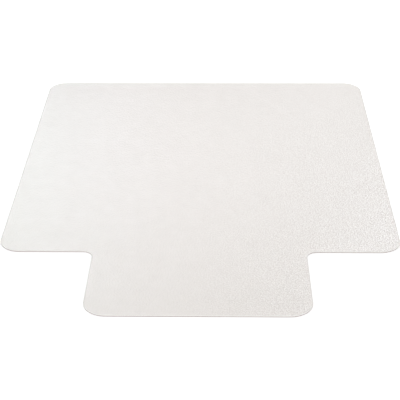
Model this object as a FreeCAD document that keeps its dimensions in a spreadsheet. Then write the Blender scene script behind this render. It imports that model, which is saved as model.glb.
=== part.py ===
"""Hard-floor chair mat with a lip: three bonded vinyl plies that share one T-shaped outline.

Frame: origin at the centre of the footprint on the floor, +Z up, +X across the mat. The lip points
along -Y, under the desk. Millimetres.
"""

import FreeCAD, Part
import os

import Sketcher

DIMENSIONS = {
    "mat_width": 914.4,  # 36 in, across the panel that the chair stands on
    "mat_length": 1219.2,  # 48 in, from the panel's back edge to the end of the lip
    "lip_width": 482.6,  # 19 in, fits between desk pedestals
    "lip_length": 254.0,  # 10 in, from the panel's front edge
    "corner_radius": 50.8,  # 2 in, on the panel's four outside corners
    "lip_corner_radius": 50.8,  # 2 in, on the two corners at the end of the lip
    "throat_radius": 22.0,  # inside corners, where the lip leaves the panel
    "skin_thickness": 0.7,
    "core_thickness": 1.5,
    "backing_thickness": 0.6,
    "bevel_run": 2.4,  # flat width of the bevel round the upper edge
    "bevel_depth": 1.2,  # height of the bevel: the whole skin and the top of the core
    "backing_inset": 5.0,  # the backing film stops this far inside the cut edge
}

# The outline's sides, counter-clockwise: how far each is from the origin, before any inset.
SIDES = {
    "right": "Sizes.mat_width / 2",
    "back": "Sizes.mat_length / 2",
    "left": "Sizes.mat_width / 2",
    "front_left": "Sizes.mat_length / 2 - Sizes.lip_length",
    "lip_left": "Sizes.lip_width / 2",
    "lip_end": "Sizes.mat_length / 2",
    "lip_right": "Sizes.lip_width / 2",
    "front_right": "Sizes.mat_length / 2 - Sizes.lip_length",
}

# The bevel's lower part, which is cut in the core. The skin's edge starts where it ends.
CORE_BEVEL_DEPTH = "(Sizes.bevel_depth - Sizes.skin_thickness)"
CORE_BEVEL_RUN = f"Sizes.bevel_run * {CORE_BEVEL_DEPTH} / Sizes.bevel_depth"

# How a sketch names its own origin and the two ends of a line.
SKETCH_ORIGIN = (-1, 1)
START = 1
END = 2

LEVEL_TOLERANCE = 1e-6
AREA_TOLERANCE = 1e-6


def add_sizes(doc):
    """The sheet of driving dimensions, one alias a row. Returns their values by alias."""
    sheet = doc.addObject("Spreadsheet::Sheet", "Sizes")
    for row, (alias, value) in enumerate(DIMENSIONS.items(), start=1):
        sheet.set(f"A{row}", alias)
        sheet.set(f"B{row}", str(value))
        sheet.setAlias(f"B{row}", alias)
    doc.recompute()
    return {alias: float(getattr(sheet, alias)) for alias in DIMENSIONS}


def outline_corners(sizes):
    """The outline's sharp corners, counter-clockwise, each with the radius that rounds it."""
    side = sizes["mat_width"] / 2
    back = sizes["mat_length"] / 2
    lip_side = sizes["lip_width"] / 2
    front = sizes["lip_length"] - back
    return [
        (side, front, "corner_radius"),
        (side, back, "corner_radius"),
        (-side, back, "corner_radius"),
        (-side, front, "corner_radius"),
        (-lip_side, front, "throat_radius"),
        (-lip_side, -back, "lip_corner_radius"),
        (lip_side, -back, "lip_corner_radius"),
        (lip_side, front, "throat_radius"),
    ]


def add_dimension(sketch, name, expression, *constraint):
    """A dimension of the sketch, driven by the sheet."""
    number = sketch.addConstraint(Sketcher.Constraint(*constraint))
    sketch.renameConstraint(number, name)
    sketch.setExpression(f"Constraints.{name}", expression)


def draw_sides(sketch, corners):
    """The T-shape with sharp corners. Line n starts at corner n."""
    points = [FreeCAD.Vector(x, y, 0) for x, y, _ in corners]
    for start, end in zip(points, points[1:] + points[:1]):
        sketch.addGeometry(Part.LineSegment(start, end))
    for line in range(len(corners)):
        following = (line + 1) % len(corners)
        sketch.addConstraint(Sketcher.Constraint("Coincident", line, END, following, START))


def round_corners(sketch, corners, sizes, inset):
    """Tangent arcs in the corners. The inset shrinks an outside radius and grows an inside one."""
    for line, (_, _, radius) in enumerate(corners):
        sketch.fillet(line, START, sizes[radius])
        arc = sketch.GeometryCount - 1
        sign = "+" if radius == "throat_radius" else "-"
        expression = f"Sizes.{radius} {sign} {inset}"
        add_dimension(sketch, f"round_{line}", expression, "Radius", arc, sizes[radius])


def place_sides(sketch, corners, inset):
    """Each side parallel to an axis, at its distance from the origin less the inset."""
    for line, (name, distance) in enumerate(SIDES.items()):
        x, y, _ = corners[line]
        upright = line % 2 == 0
        reach = x if upright else y
        span = (*SKETCH_ORIGIN, line, START) if reach > 0 else (line, START, *SKETCH_ORIGIN)
        sketch.addConstraint(Sketcher.Constraint("Vertical" if upright else "Horizontal", line))
        kind = "DistanceX" if upright else "DistanceY"
        add_dimension(sketch, name, f"{distance} - {inset}", kind, *span, abs(reach))


def add_ply(doc, node, sizes, inset, thickness):
    """A flat ply: the outline moved in all round by the inset, and its thickness."""
    body = doc.addObject("PartDesign::Body", node)
    body.Label = node
    sketch = body.newObject("Sketcher::SketchObject", f"{node}_outline")
    plane = next(part for part in body.Origin.OriginFeatures if part.Role == "XY_Plane")
    sketch.AttachmentSupport = (plane, [""])
    sketch.MapMode = "FlatFace"
    corners = outline_corners(sizes)
    draw_sides(sketch, corners)
    round_corners(sketch, corners, sizes, inset)
    place_sides(sketch, corners, inset)
    pad = body.newObject("PartDesign::Pad", f"{node}_pad")
    pad.Profile = sketch
    pad.setExpression("Length", thickness)
    return body, pad


def top_face(shape):
    """The name of the highest face."""
    heights = [face.CenterOfMass.z for face in shape.Faces]
    return f"Face{heights.index(max(heights)) + 1}"


def make_grip_backing(doc, sizes):
    """Soft anti-slip film, the lowest ply. It stops short of the cut edge all round."""
    body, _ = add_ply(doc, "grip_backing", sizes, "Sizes.backing_inset", "Sizes.backing_thickness")
    return body


def make_core_sheet(doc, sizes):
    """Stiff vinyl sheet of the full outline, with the bevel's lower part on its upper edge."""
    body, pad = add_ply(doc, "core_sheet", sizes, "0", "Sizes.core_thickness")
    doc.recompute()
    bevel = body.newObject("PartDesign::Chamfer", "core_sheet_bevel")
    bevel.Base = (pad, [top_face(pad.Shape)])
    bevel.ChamferType = "Two distances"
    bevel.setExpression("Size", CORE_BEVEL_DEPTH)
    bevel.setExpression("Size2", CORE_BEVEL_RUN)
    body.setExpression("Placement.Base.z", "Sizes.backing_thickness")
    return body


def make_wear_skin(doc, sizes):
    """Clear embossed top ply. Its whole edge is the bevel's upper part, so it narrows upwards."""
    body, pad = add_ply(doc, "wear_skin", sizes, CORE_BEVEL_RUN, "Sizes.skin_thickness")
    pad.setExpression("TaperAngle", "-atan(Sizes.bevel_run / Sizes.bevel_depth)")
    body.setExpression("Placement.Base.z", "Sizes.backing_thickness + Sizes.core_thickness")
    return body


def area_at(body, height):
    """The area of a body's level faces at one height."""
    level = [
        face.Area
        for face in body.Shape.Faces
        if abs(face.BoundBox.ZMin - height) + abs(face.BoundBox.ZMax - height) < LEVEL_TOLERANCE
    ]
    return sum(level)


def check_document(doc):
    """Stop on an object that failed to compute, or a sketch that is free to move."""
    for item in doc.Objects:
        if {"Invalid", "Error"} & set(item.State):
            raise RuntimeError(f"{item.Name} failed: {item.State}")
        if item.TypeId == "Sketcher::SketchObject" and not item.FullyConstrained:
            raise RuntimeError(f"{item.Name} isn't fully constrained")


def check_ply(body):
    """Stop on a ply that isn't one sound solid."""
    shape = body.Shape
    if shape.isNull() or not shape.isValid() or len(shape.Solids) != 1:
        raise RuntimeError(f"{body.Label} isn't one valid solid")


def check_bevel(core, skin):
    """Stop unless the bevel runs unbroken from core to skin: equal faces where the two meet."""
    joint = skin.Shape.BoundBox.ZMin
    below = area_at(core, joint)
    above = area_at(skin, joint)
    if below == 0 or abs(below - above) > AREA_TOLERANCE * above:
        raise RuntimeError(f"the core's top face is {below} mm2 and the skin's underside {above} mm2")


def main():
    os.makedirs("parts", exist_ok=True)
    doc = FreeCAD.newDocument("chair_mat")
    sizes = add_sizes(doc)
    backing = make_grip_backing(doc, sizes)
    core = make_core_sheet(doc, sizes)
    skin = make_wear_skin(doc, sizes)
    doc.recompute()
    check_document(doc)
    for body in (backing, core, skin):
        check_ply(body)
    check_bevel(core, skin)
    for body in (backing, core, skin):
        body.Shape.exportStep(f"parts/{body.Label}.step")
        print(f"{body.Label}: {body.Shape.Volume / 1000:.1f} cm3, {body.Shape.BoundBox}")


main()
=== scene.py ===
"""Looks of the chair mat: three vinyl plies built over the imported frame, on a white floor in soft light.

Metres, in the row frame: +Z up, +X across the mat, and the lip points along -Y, towards the camera.
"""

import math
from collections import namedtuple

import bpy
import numpy as np
from mathutils import Matrix, Vector
from mathutils.geometry import delaunay_2d_cdt


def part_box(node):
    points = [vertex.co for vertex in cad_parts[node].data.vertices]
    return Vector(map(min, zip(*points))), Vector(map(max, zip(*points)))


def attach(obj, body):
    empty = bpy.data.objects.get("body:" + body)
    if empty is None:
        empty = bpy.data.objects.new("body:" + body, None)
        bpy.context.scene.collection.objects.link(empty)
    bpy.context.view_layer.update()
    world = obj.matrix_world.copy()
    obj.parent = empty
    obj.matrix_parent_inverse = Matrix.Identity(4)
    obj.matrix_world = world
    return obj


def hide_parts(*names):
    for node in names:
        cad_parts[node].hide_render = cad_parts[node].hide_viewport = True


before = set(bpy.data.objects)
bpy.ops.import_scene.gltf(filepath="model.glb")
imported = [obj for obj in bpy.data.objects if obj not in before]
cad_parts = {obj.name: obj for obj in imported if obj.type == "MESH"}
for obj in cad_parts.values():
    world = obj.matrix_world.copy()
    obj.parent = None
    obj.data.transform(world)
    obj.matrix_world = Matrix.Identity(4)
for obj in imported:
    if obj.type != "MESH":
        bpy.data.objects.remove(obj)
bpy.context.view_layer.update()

MM = 0.001

# Fineness of the meshes.
ARC_STEPS = 24  # per rounded corner
SIDE_STEP = 6 * MM  # along a straight edge
GRID_STEP = 3.3 * MM  # across the embossed top
RIM_GAP = 0.6 * GRID_STEP  # least space between the grid and the rim
WELD = 1e-7  # points closer than this are one point
INSIDE_ONLY = 1  # tells the triangulation to leave out what is beyond the rim

# How the CAD meshes are read.
SAME_LINE = 0.05 * MM  # places this near a straight edge are on it
SAME_FACE = 0.01 * MM  # places this near a flat face are on it
PANEL_ONLY = 0.8  # beyond this share of the half width there is panel, but no lip

# The top ply's emboss, which is a real relief at this scale. The material adds the finer grain.
EMBOSS_DEPTH = 0.12 * MM
EMBOSS_REACH = 0.8  # grid steps over which a bump is rounded
EMBOSS_FADE = 6 * MM  # width of the smooth border beside the bevel
EMBOSS_SPREAD = 2  # pebbles further from the mean than this are levelled off
EMBOSS_SEED = 5
BELL_END = 3  # a bell curve is over at this many times its width

# Small roundings where a sharp edge would look machined.
BEVEL_BREAK = 0.3 * MM  # flat width over which the bevel turns into the top face
BEVEL_TURN = 0.25 * BEVEL_BREAK  # part way through the turn, where the face is down by the drop
BEVEL_DROP = 0.01 * MM
BEVEL_STRAIGHT = 0.92  # share of the skin's bevel that is straight, below the turn
CUT_BREAK = 0.12 * MM  # lower corner of the core's cut edge
BEVEL_START = 0.06 * MM  # round where the core's cut edge turns into the bevel
FILM_BREAK = 0.2 * MM  # lower corner of the backing film

SMOOTH_ANGLE = math.radians(12)  # steeper edges than this stay sharp


# ---------------------------------------------------------------- the outline, read from the frame


Outline = namedtuple("Outline", "side back front lip_side lip_end corner lip_corner throat")


def measure_outline(node):
    """The T-shape's straight sides and radii, from the corners of a CAD node's mesh."""
    points = np.array([vertex.co[:2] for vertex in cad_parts[node].data.vertices])
    x = np.abs(points[:, 0])
    y = points[:, 1]
    side = x.max()
    back = y.max()
    lip_end = y.min()
    front = y[x > PANEL_ONLY * side].min()
    lip_side = x[y < (front + lip_end) / 2].max()
    on_side = y[x > side - SAME_LINE]
    on_lip = y[(np.abs(x - lip_side) < SAME_LINE) & (y < front)]
    return Outline(
        side=side,
        back=back,
        front=front,
        lip_side=lip_side,
        lip_end=lip_end,
        corner=back - on_side.max(),
        lip_corner=on_lip.min() - lip_end,
        throat=front - on_lip.max(),
    )


def half_width_at(node, height):
    """How far a CAD node reaches along X at one height."""
    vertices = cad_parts[node].data.vertices
    return max(vertex.co.x for vertex in vertices if abs(vertex.co.z - height) < SAME_FACE)


def height_of_side(node):
    """The top of a CAD node's upright outer face."""
    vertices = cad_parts[node].data.vertices
    reach = max(vertex.co.x for vertex in vertices)
    return max(vertex.co.z for vertex in vertices if vertex.co.x > reach - SAME_FACE)


def add_side(places, normals, end):
    """Points along a straight side, from the last place up to but not including its end."""
    start = places[-1]
    count = max(1, round(np.linalg.norm(end - start) / SIDE_STEP))
    for step in range(1, count):
        places.append(start + (end - start) * step / count)
        normals.append(normals[-1])


def outline_loop(o):
    """Points round the outline, counter-clockwise, with their outward normals, as two arrays."""
    east, north, west, south = 0, 90, 180, 270
    left, right = 90, -90
    # Each rounding: centre, radius, the side of the centre where its arc starts, and how it turns.
    rounds = [
        (o.side - o.corner, o.front + o.corner, o.corner, south, left),
        (o.side - o.corner, o.back - o.corner, o.corner, east, left),
        (o.corner - o.side, o.back - o.corner, o.corner, north, left),
        (o.corner - o.side, o.front + o.corner, o.corner, west, left),
        (-o.lip_side - o.throat, o.front - o.throat, o.throat, north, right),
        (o.lip_corner - o.lip_side, o.lip_end + o.lip_corner, o.lip_corner, west, left),
        (o.lip_side - o.lip_corner, o.lip_end + o.lip_corner, o.lip_corner, south, left),
        (o.lip_side + o.throat, o.front - o.throat, o.throat, west, right),
    ]
    places = []
    normals = []
    for x, y, radius, start, turn in rounds:
        angles = np.radians(start + turn * np.linspace(0, 1, ARC_STEPS + 1))
        spokes = np.stack([np.cos(angles), np.sin(angles)], axis=1)
        if places:
            add_side(places, normals, np.array([x, y]) + radius * spokes[0])
        places.extend(np.array([x, y]) + radius * spokes)
        normals.extend(spokes if turn == left else -spokes)
    add_side(places, normals, places[0])
    return np.array(places), np.array(normals)


def box_depth(x, y, left, right, low, high, radius):
    """How far points are inside a rounded rectangle: negative outside."""
    across = np.abs(x - (left + right) / 2) - (right - left) / 2 + radius
    along = np.abs(y - (low + high) / 2) - (high - low) / 2 + radius
    beyond = np.hypot(np.maximum(across, 0), np.maximum(along, 0))
    return radius - beyond - np.minimum(np.maximum(across, along), 0)


def outline_depth(o, x, y):
    """How far points are inside the outline: negative outside."""
    panel = box_depth(x, y, -o.side, o.side, o.front, o.back, o.corner)
    lip = box_depth(x, y, -o.lip_side, o.lip_side, o.lip_end, o.back, o.lip_corner)
    # Inwards of a throat's centre the edge is its arc, besides the far sides of a box round it all.
    from_arc = np.hypot(np.abs(x) - o.lip_side - o.throat, y - o.front + o.throat) - o.throat
    around = box_depth(x, y, -o.side, o.side, 2 * o.lip_end, o.back, o.corner)
    by_throat = (np.abs(x) < o.lip_side + o.throat) & (y > o.front - o.throat)
    return np.where(by_throat, np.minimum(from_arc, around), np.maximum(panel, lip))


# ---------------------------------------------------------------- meshes


# A grid over an outline: the places, each one's number or -1 where it isn't kept, and which
# squares have all four corners.
Grid = namedtuple("Grid", "x y numbers whole")


def grid_over(rim):
    """The places of an even grid that covers a rim, as two arrays."""
    low = rim.min(axis=0)
    high = rim.max(axis=0)
    counts = np.ceil((high - low) / GRID_STEP).astype(int) + 1
    axes = [np.linspace(low[axis], high[axis], counts[axis]) for axis in (0, 1)]
    return np.meshgrid(*axes, indexing="ij")


def square_corners(numbers, whole):
    """The numbers of the corners of each whole square, counter-clockwise."""
    corners = [numbers[:-1, :-1], numbers[1:, :-1], numbers[1:, 1:], numbers[:-1, 1:]]
    return np.stack(corners, axis=-1)[whole]


def square_sides(grid):
    """The sides of whole squares that have no whole square beyond them, as pairs of numbers."""
    numbers, whole = grid.numbers, grid.whole
    padded = np.pad(whole, 1)
    # Each side of a square: the step to the square beyond it, and the side's two corners.
    around = [
        ((0, -1), (0, 0), (1, 0)),
        ((1, 0), (1, 0), (1, 1)),
        ((0, 1), (1, 1), (0, 1)),
        ((-1, 0), (0, 1), (0, 0)),
    ]
    sides = []
    for (i, j), start, end in around:
        beyond = padded[1 + i : 1 + i + whole.shape[0], 1 + j : 1 + j + whole.shape[1]]
        for cell in np.argwhere(whole & ~beyond):
            sides.append((numbers[tuple(cell + start)], numbers[tuple(cell + end)]))
    return sides


def loose_points(grid):
    """The kept points that are in no whole square."""
    in_squares = square_corners(grid.numbers, grid.whole)
    return set(np.setdiff1d(grid.numbers[grid.numbers >= 0], in_squares).tolist())


def in_square(grid, place):
    """Whether a place is in one of the whole squares."""
    origin = np.array([grid.x[0, 0], grid.y[0, 0]])
    step = np.array([grid.x[1, 0], grid.y[0, 1]]) - origin
    cell = np.floor((np.array(place) - origin) / step).astype(int)
    return (cell >= 0).all() and (cell < grid.whole.shape).all() and grid.whole[tuple(cell)]


class PlyBuilder:
    """Collects the points and faces of one closed ply with the mat's outline."""

    def __init__(self, outline):
        self.outline = outline
        self.places, self.normals = outline_loop(outline)
        self.count = len(self.places)
        self.points = []
        self.faces = []

    def add_points(self, xy, z):
        """Adds points and returns the number of the first."""
        first = sum(len(group) for group in self.points)
        self.points.append(np.column_stack([xy, np.broadcast_to(z, len(xy))]))
        return first

    def ring_places(self, inset):
        return self.places - inset * self.normals

    def add_wall(self, rings):
        """Faces up through rings, each an inset and a height. Returns each ring's first point."""
        firsts = [self.add_points(self.ring_places(inset), z) for inset, z in rings]
        for lower, upper in zip(firsts, firsts[1:]):
            for number in range(self.count):
                after = (number + 1) % self.count
                self.faces.append((lower + number, lower + after, upper + after, upper + number))
        return firsts

    def rim_edges(self):
        return [(number, (number + 1) % self.count) for number in range(self.count)]

    def add_flat(self, ring, inset, upwards):
        """A flat face over a ring."""
        places = [Vector(place) for place in self.ring_places(inset)]
        found = delaunay_2d_cdt(places, self.rim_edges(), [], INSIDE_ONLY, WELD)
        for face in found[2]:
            face = face if upwards else face[::-1]
            self.faces.append(tuple(ring + corner for corner in face))

    def add_relief(self, ring, inset, z, relief):
        """A face over a ring as a fine grid lowered by a relief, with triangles out to the ring."""
        rim = self.ring_places(inset)
        x, y = grid_over(rim)
        depth = outline_depth(self.outline, x, y) - inset
        kept = depth > RIM_GAP
        first = self.add_points(np.column_stack([x[kept], y[kept]]), z - relief(x, y, depth)[kept])
        numbers = np.full(x.shape, -1)
        numbers[kept] = np.arange(kept.sum())
        whole = kept[:-1, :-1] & kept[1:, :-1] & kept[1:, 1:] & kept[:-1, 1:]
        self.faces.extend(map(tuple, square_corners(numbers, whole) + first))
        self.add_band(ring, rim, first, Grid(x, y, numbers, whole))

    def add_band(self, ring, rim, first, grid):
        """The triangles between a ring and the whole squares inside it."""
        sides = square_sides(grid)
        used = sorted({end for side in sides for end in side} | loose_points(grid))
        order = {number: len(rim) + position for position, number in enumerate(used)}
        kept = grid.numbers >= 0
        places = np.column_stack([grid.x[kept], grid.y[kept]])
        points = [Vector(place) for place in rim] + [Vector(places[number]) for number in used]
        edges = self.rim_edges() + [(order[start], order[end]) for start, end in sides]
        found = delaunay_2d_cdt(points, edges, [], INSIDE_ONLY, WELD)
        for face in found[2]:
            off_rim = all(corner >= len(rim) for corner in face)
            middle = sum((points[corner] for corner in face), Vector((0, 0))) / len(face)
            if off_rim and in_square(grid, middle):
                continue
            self.faces.append(
                tuple(ring + n if n < len(rim) else first + used[n - len(rim)] for n in face)
            )

    def finish(self, name):
        mesh = bpy.data.meshes.new(name)
        mesh.from_pydata(np.concatenate(self.points).tolist(), [], self.faces)
        mesh.validate()
        mesh.update()
        mesh.shade_smooth()
        mesh.set_sharp_from_angle(angle=SMOOTH_ANGLE)
        piece = bpy.data.objects.new(name, mesh)
        bpy.context.scene.collection.objects.link(piece)
        return piece


def smooth_noise(shape, reach, seed):
    """A field of random values, evened out over so many cells, with a spread of 1."""
    field = np.random.default_rng(seed).normal(size=shape)
    furthest = BELL_END * math.ceil(reach)
    offsets = range(-furthest, furthest + 1)
    for axis in (0, 1):
        field = sum(math.exp(-0.5 * (n / reach) ** 2) * np.roll(field, n, axis) for n in offsets)
    return field / field.std()


def emboss(x, y, depth):
    """Depth of the emboss below the top face: shallow pebbles that fade out beside the bevel."""
    pebbles = smooth_noise(x.shape, EMBOSS_REACH, EMBOSS_SEED)
    levelled = np.clip(pebbles, -EMBOSS_SPREAD, EMBOSS_SPREAD)
    share = (levelled + EMBOSS_SPREAD) / (2 * EMBOSS_SPREAD)
    return EMBOSS_DEPTH * share * np.clip(depth / EMBOSS_FADE, 0, 1)


def make_skin(outline):
    """The clear top ply: its bevelled edge, and an embossed top."""
    low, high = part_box("wear_skin")
    side = outline.side
    foot = side - high.x
    top = side - half_width_at("wear_skin", high.z)
    ply = PlyBuilder(outline)
    rings = [
        (foot, low.z),
        (foot + BEVEL_STRAIGHT * (top - foot), low.z + BEVEL_STRAIGHT * (high.z - low.z)),
        (top + BEVEL_TURN, high.z - BEVEL_DROP),
        (top + BEVEL_BREAK, high.z),
    ]
    firsts = ply.add_wall(rings)
    ply.add_flat(firsts[0], foot, upwards=False)
    ply.add_relief(firsts[-1], rings[-1][0], high.z, emboss)
    return ply.finish("wear_skin_embossed")


def make_core(outline):
    """The stiff middle ply: an upright cut edge, and the bevel's foot."""
    low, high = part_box("core_sheet")
    top = outline.side - half_width_at("core_sheet", high.z)
    bevel = height_of_side("core_sheet")
    ply = PlyBuilder(outline)
    rings = [
        (CUT_BREAK, low.z),
        (0, low.z + CUT_BREAK),
        (0, bevel - BEVEL_START),
        (BEVEL_START, bevel + BEVEL_START / 2),
        (top, high.z),
    ]
    firsts = ply.add_wall(rings)
    ply.add_flat(firsts[0], CUT_BREAK, upwards=False)
    ply.add_flat(firsts[-1], top, upwards=True)
    return ply.finish("core_sheet_bevelled")


def make_backing(outline):
    """The soft film underneath, set in from the cut edge."""
    low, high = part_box("grip_backing")
    inset = outline.side - high.x
    ply = PlyBuilder(outline)
    rings = [
        (inset + FILM_BREAK, low.z),
        (inset, low.z + FILM_BREAK),
        (inset, high.z),
    ]
    firsts = ply.add_wall(rings)
    ply.add_flat(firsts[0], inset + FILM_BREAK, upwards=False)
    ply.add_flat(firsts[-1], inset, upwards=True)
    return ply.finish("grip_backing_film")


# ---------------------------------------------------------------- materials


VINYL_IOR = 1.53
CLOUD_MIDDLE = 0.5
CLOUD_SPREAD = 0.2  # most values of a cloudy texture lie this near to its middle

# Below, CLOUDS are a cloudy texture's features to a metre and its finer layers, CELLS are a
# cell texture's cells to a metre and its smoothness, and a BUMP is its strength and its depth.

# The top face: a fine pebble grain in the bump, and specks in the colour that are painted glints and
# painted shade of the pebbles.
GRAIN_CLOUDS = (280, 2)
GRAIN_CELLS = (220, 0.7)
GRAIN_CELL_SHARE = 0.45
GRAIN_BUMP = (1.0, 1.1 * MM)
FACE_CLOUDS = (30, 4)
FACE_DARK = (0.763, 0.728, 0.695)
FACE_LIGHT = (0.783, 0.748, 0.715)
GLINT_CLOUDS = (400, 1)
GLINT_SPREAD = 0.06  # narrow, so the painted glints and painted shade have sharp edges
PAINTED_FACET_SHADE = (0.54, 0.49, 0.46)
PAINTED_GLINT = (1.0, 0.988, 0.958)
GLOSS_CLOUDS = (55, 3)
GLOSS_ROUGHNESS = (0.20, 0.24)

# The specks are painted glints and painted shade, standing for the sparkle of the small lamp on the right
# over the pebbles. They are absent on the left. From here they get stronger towards the right, along X,
# but less so towards the back, along Y, where only a share of them is left.
GLINT_MASK_START = -0.07
GLINT_MASK_REACH = 0.65
GLINT_FADE_START = 0.0
GLINT_FADE_REACH = 0.6
GLINT_FADE_SHARE = 0.2

# The bevel is cut through clear vinyl. Its colour is paler than the faces beside it, a painted highlight
# for the light it catches.
MARK_CLOUDS = (900, 2)
BEVEL_HIGHLIGHT_DARK = (0.88, 0.86, 0.84)
BEVEL_HIGHLIGHT_LIGHT = (0.93, 0.91, 0.89)

# The core's cut edge, with marks drawn out upwards, the way the die passed. Its pinkish tint is the
# vinyl's own, and most of its darkness is painted shade of the edge face and the shadowed gap below it.
DIE_STRETCH = (1, 1, 8)
CUT_TINT_AND_SHADE_DARK = (0.10, 0.02, 0.025)
CUT_TINT_AND_SHADE_LIGHT = (0.16, 0.06, 0.065)
CUT_ROUGHNESS = (0.2, 0.3)
CUT_BUMP = (0.5, 0.1 * MM)

# How far a face's normal rises where one look ends, and where the next is all there is. These masks
# place the bevel's painted highlight and the cut edge's painted shade by which way a face points.
BEVEL_TO_FACE = (0.92, 0.98)
CUT_TO_BEVEL = (0.3, 0.7)

# The backing film: matt, with a fine grippy texture.
GRIP_CELLS = (240, 0.4)
GRIP_CLOUDS = (420, 2)
GRIP_CLOUD_SHARE = 0.4
GRIP_BUMP = (0.8, 0.4 * MM)
FILM_CLOUDS = (24, 4)
FILM_DARK = (0.6, 0.59, 0.565)
FILM_LIGHT = (0.65, 0.64, 0.62)
MATT_CLOUDS = (140, 2)
MATT_ROUGHNESS = (0.68, 0.85)


class Material:
    """A node material. Sockets are named, and a link is made wherever a value is a node's output."""

    def __init__(self, name):
        self.data = bpy.data.materials.new(name)
        self.data.use_nodes = True
        self.tree = self.data.node_tree
        self.shader = self.tree.nodes["Principled BSDF"]
        self.place = self.node("TexCoord").outputs["Object"]

    def set(self, node, **inputs):
        """Gives a node its inputs. An underscore in a name stands for a space."""
        for name, value in inputs.items():
            socket = node.inputs[name.replace("_", " ")]
            if isinstance(value, bpy.types.NodeSocket):
                self.tree.links.new(value, socket)
            else:
                socket.default_value = value

    def node(self, kind, settings=(), **inputs):
        node = self.tree.nodes.new(f"ShaderNode{kind}")
        for name, value in dict(settings).items():
            setattr(node, name, value)
        self.set(node, **inputs)
        return node

    def clouds(self, scale, detail, place=None):
        """Cloudy values from 0 to 1."""
        vector = self.place if place is None else place
        return self.node("TexNoise", Vector=vector, Scale=scale, Detail=detail).outputs["Fac"]

    def cells(self, scale, smoothness):
        """Rounded cells: distance from each cell's middle."""
        settings = {"feature": "SMOOTH_F1"}
        node = self.node("TexVoronoi", settings, Vector=self.place, Scale=scale, Smoothness=smoothness)
        return node.outputs["Distance"]

    def stretched(self, scale):
        """Places in which a texture comes out longer by a scale along each axis."""
        settings = {"vector_type": "TEXTURE"}
        return self.node("Mapping", settings, Vector=self.place, Scale=scale).outputs["Vector"]

    def mix(self, first, second, share):
        """Between two values: at share 0 it is the first."""
        node = self.node("Mix", {"data_type": "FLOAT"}, Factor=share, A=first, B=second)
        return node.outputs["Result"]

    def mix_colours(self, first, second, share):
        return self.node("MixRGB", Fac=share, Color1=first, Color2=second).outputs["Color"]

    def spread(self, value, start, end, low=0, high=1):
        """A value made to go evenly from low to high between two of its values, and no further."""
        ends = {"From_Min": start, "From_Max": end, "To_Min": low, "To_Max": high}
        return self.node("MapRange", Value=value, **ends).outputs["Result"]

    def spread_clouds(self, value, low, high):
        """A cloudy value spread from low to high."""
        return self.spread(
            value, CLOUD_MIDDLE - CLOUD_SPREAD, CLOUD_MIDDLE + CLOUD_SPREAD, low, high
        )

    def along(self, axis, start, reach, first, last):
        """First up to a place on an axis, in metres, then changing evenly to last over the reach."""
        place = self.node("SeparateXYZ", Vector=self.place).outputs[axis]
        return self.spread(place, start, start + reach, first, last)

    def facing_up(self, steep, level):
        """0 where a face's normal rises no more than steep, and 1 where it rises more than level."""
        normal = self.node("TexCoord").outputs["Normal"]
        rise = self.node("SeparateXYZ", Vector=normal).outputs["Z"]
        return self.spread(rise, steep, level)

    def blend(self, value, dark, light, spread=CLOUD_SPREAD):
        """A colour between two, by a cloudy value."""
        node = self.node("ValToRGB", Fac=value)
        ends = node.color_ramp.elements
        ends[0].position, ends[0].color = CLOUD_MIDDLE - spread, (*dark, 1)
        ends[1].position, ends[1].color = CLOUD_MIDDLE + spread, (*light, 1)
        return node.outputs["Color"]

    def bump(self, height, strength, depth):
        return self.node("Bump", Height=height, Strength=strength, Distance=depth).outputs["Normal"]


def wear_material():
    """Clear hard vinyl over white: warm off-white and glossy, with a fine random grain, painted glints and
    shade as specks, and a painted highlight on the bevel.
    """
    m = Material("embossed_vinyl")
    grain = m.mix(m.clouds(*GRAIN_CLOUDS), m.cells(*GRAIN_CELLS), GRAIN_CELL_SHARE)
    plain = m.blend(m.clouds(*FACE_CLOUDS), FACE_DARK, FACE_LIGHT)
    # The specks are painted glints and painted shade of the pebbles, not the vinyl's own colour.
    painted_glints = m.blend(m.clouds(*GLINT_CLOUDS), PAINTED_FACET_SHADE, PAINTED_GLINT, GLINT_SPREAD)
    # The painted glints are masked to where the small lamp on the right would make the pebbles sparkle.
    fade = m.along("Y", GLINT_FADE_START, GLINT_FADE_REACH, 1, GLINT_FADE_SHARE)
    glint_mask = m.along("X", GLINT_MASK_START, GLINT_MASK_REACH, 0, fade)
    face = m.mix_colours(plain, painted_glints, glint_mask)
    # The bevel's paler colour is a painted highlight.
    bevel = m.blend(m.clouds(*MARK_CLOUDS), BEVEL_HIGHLIGHT_DARK, BEVEL_HIGHLIGHT_LIGHT)
    m.set(
        m.shader,
        Base_Color=m.mix_colours(bevel, face, m.facing_up(*BEVEL_TO_FACE)),
        Roughness=m.spread_clouds(m.clouds(*GLOSS_CLOUDS), *GLOSS_ROUGHNESS),
        IOR=VINYL_IOR,
        Normal=m.bump(grain, *GRAIN_BUMP),
    )
    return m.data


def core_material():
    """Vinyl whose cut edge is darker and pinker than the bevel: pinkish tint and painted shade on the cut,
    a painted highlight on the bevel.
    """
    m = Material("cut_vinyl")
    marks = m.clouds(*MARK_CLOUDS, m.stretched(DIE_STRETCH))
    # The cut edge's dark colour is mostly painted shade, over the vinyl's pinkish tint.
    cut = m.blend(marks, CUT_TINT_AND_SHADE_DARK, CUT_TINT_AND_SHADE_LIGHT)
    # The bevel's paler colour is a painted highlight.
    bevel = m.blend(marks, BEVEL_HIGHLIGHT_DARK, BEVEL_HIGHLIGHT_LIGHT)
    m.set(
        m.shader,
        Base_Color=m.mix_colours(cut, bevel, m.facing_up(*CUT_TO_BEVEL)),
        Roughness=m.spread_clouds(marks, *CUT_ROUGHNESS),
        IOR=VINYL_IOR,
        Normal=m.bump(marks, *CUT_BUMP),
    )
    return m.data


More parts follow.
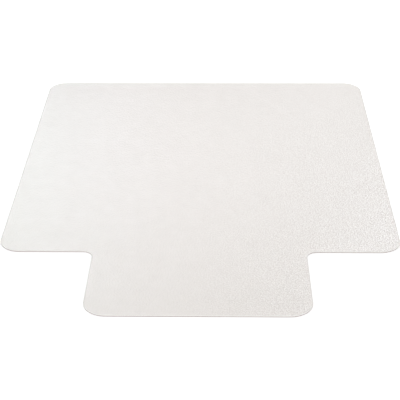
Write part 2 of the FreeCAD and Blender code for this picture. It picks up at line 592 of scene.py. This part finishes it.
def backing_material():
    """Soft milky film."""
    m = Material("grip_film")
    grain = m.mix(m.cells(*GRIP_CELLS), m.clouds(*GRIP_CLOUDS), GRIP_CLOUD_SHARE)
    m.set(
        m.shader,
        Base_Color=m.blend(m.clouds(*FILM_CLOUDS), FILM_DARK, FILM_LIGHT),
        Roughness=m.spread_clouds(m.clouds(*MATT_CLOUDS), *MATT_ROUGHNESS),
        Normal=m.bump(grain, *GRIP_BUMP),
    )
    return m.data


# ---------------------------------------------------------------- the mat


def make_mat():
    outline = measure_outline("core_sheet")
    plies = [
        (make_skin(outline), "wear_skin", "wear_vinyl", wear_material()),
        (make_core(outline), "core_sheet", "core_vinyl", core_material()),
        (make_backing(outline), "grip_backing", "backing_vinyl", backing_material()),
    ]
    for piece, node, slot, material in plies:
        piece.data.materials.append(material)
        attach(piece, "root")
        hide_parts(node)


# ---------------------------------------------------------------- floor, light and camera


WHITE = (1, 1, 1, 1)
WORLD_STRENGTH = 0.4
FLOOR_HALF = 30.0
FLOOR_COLOUR = (0.98, 0.98, 0.98, 1)
FLOOR_ROUGHNESS = 0.9
FLOOR_GLOW = 0.26  # the floor glows a little, as a lit product table does, so it stays white

# Soft boxes round the mat, each facing its middle. Degrees round from +Y towards +X, degrees up,
# metres away, metres across, watts, colour.
SOFT_BOXES = {
    "overhead": (0, 90, 4.0, 3.0, 18.0, (1.0, 0.97, 0.88)),
    "front": (180, 36, 8.0, 4.0, 320.0, (1.0, 1.0, 1.0)),
    "left": (-24, 28, 4.0, 1.2, 5.5, (0.64, 1.0, 0.78)),
    "back_left": (-18, 28, 4.0, 1.2, 15.8, (0.88, 0.89, 1.0)),
    "back": (0, 28, 4.0, 1.2, 13.8, (1.0, 0.97, 1.0)),
    "back_right": (18, 28, 4.0, 1.2, 6.8, (1.0, 0.97, 0.99)),
    "low_right": (18, 14, 4.0, 1.2, 4.0, (1.0, 1.0, 1.0)),
    "small_right": (24.4, 38.2, 3.07, 0.3, 5.4, (0.87, 0.91, 1.0)),
}

# Where the camera stands, and how it is turned.
CAMERA_PLACE = (0.0448, -2.5761, 1.3575)
CAMERA_PITCH = math.radians(28.83)  # down
CAMERA_YAW = math.radians(1.11)  # to the left
CAMERA_ROLL = math.radians(-0.38)
CAMERA_LENS = 104.0
CAMERA_SENSOR = 36.0


def make_floor():
    mesh = bpy.data.meshes.new("floor")
    signs = [(-1, -1), (1, -1), (1, 1), (-1, 1)]
    mesh.from_pydata([(x * FLOOR_HALF, y * FLOOR_HALF, 0) for x, y in signs], [], [(0, 1, 2, 3)])
    floor = bpy.data.objects.new("floor", mesh)
    bpy.context.scene.collection.objects.link(floor)
    m = Material("floor_white")
    m.set(m.shader, Base_Color=FLOOR_COLOUR, Roughness=FLOOR_ROUGHNESS)
    m.set(m.shader, Emission_Color=WHITE, Emission_Strength=FLOOR_GLOW)
    mesh.materials.append(m.data)


def make_world():
    world = bpy.data.worlds.new("studio")
    world.use_nodes = True
    background = world.node_tree.nodes["Background"]
    background.inputs["Color"].default_value = WHITE
    background.inputs["Strength"].default_value = WORLD_STRENGTH
    bpy.context.scene.world = world


def add_soft_box(name, azimuth, elevation, distance, width, power, colour):
    light = bpy.data.lights.new(name, "AREA")
    light.size = width
    light.energy = power
    light.color = colour
    turn = math.radians(azimuth)
    rise = math.radians(elevation)
    level = distance * math.cos(rise)
    place = Vector((level * math.sin(turn), level * math.cos(turn), distance * math.sin(rise)))
    lamp = bpy.data.objects.new(name, light)
    lamp.location = place
    lamp.rotation_euler = (-place).to_track_quat("-Z", "Y").to_euler()
    lamp.visible_camera = False
    bpy.context.scene.collection.objects.link(lamp)


def make_camera():
    camera = bpy.data.cameras.new("camera")
    camera.sensor_width = CAMERA_SENSOR
    camera.lens = CAMERA_LENS
    holder = bpy.data.objects.new("camera", camera)
    holder.matrix_world = (
        Matrix.Translation(CAMERA_PLACE)
        @ Matrix.Rotation(CAMERA_YAW, 4, "Z")
        @ Matrix.Rotation(math.pi / 2 - CAMERA_PITCH, 4, "X")
        @ Matrix.Rotation(CAMERA_ROLL, 4, "Z")
    )
    bpy.context.scene.collection.objects.link(holder)
    bpy.context.scene.camera = holder


make_mat()
make_floor()
make_world()
for name, soft_box in SOFT_BOXES.items():
    add_soft_box(name, *soft_box)
make_camera()
bpy.context.scene.view_settings.view_transform = "Standard"
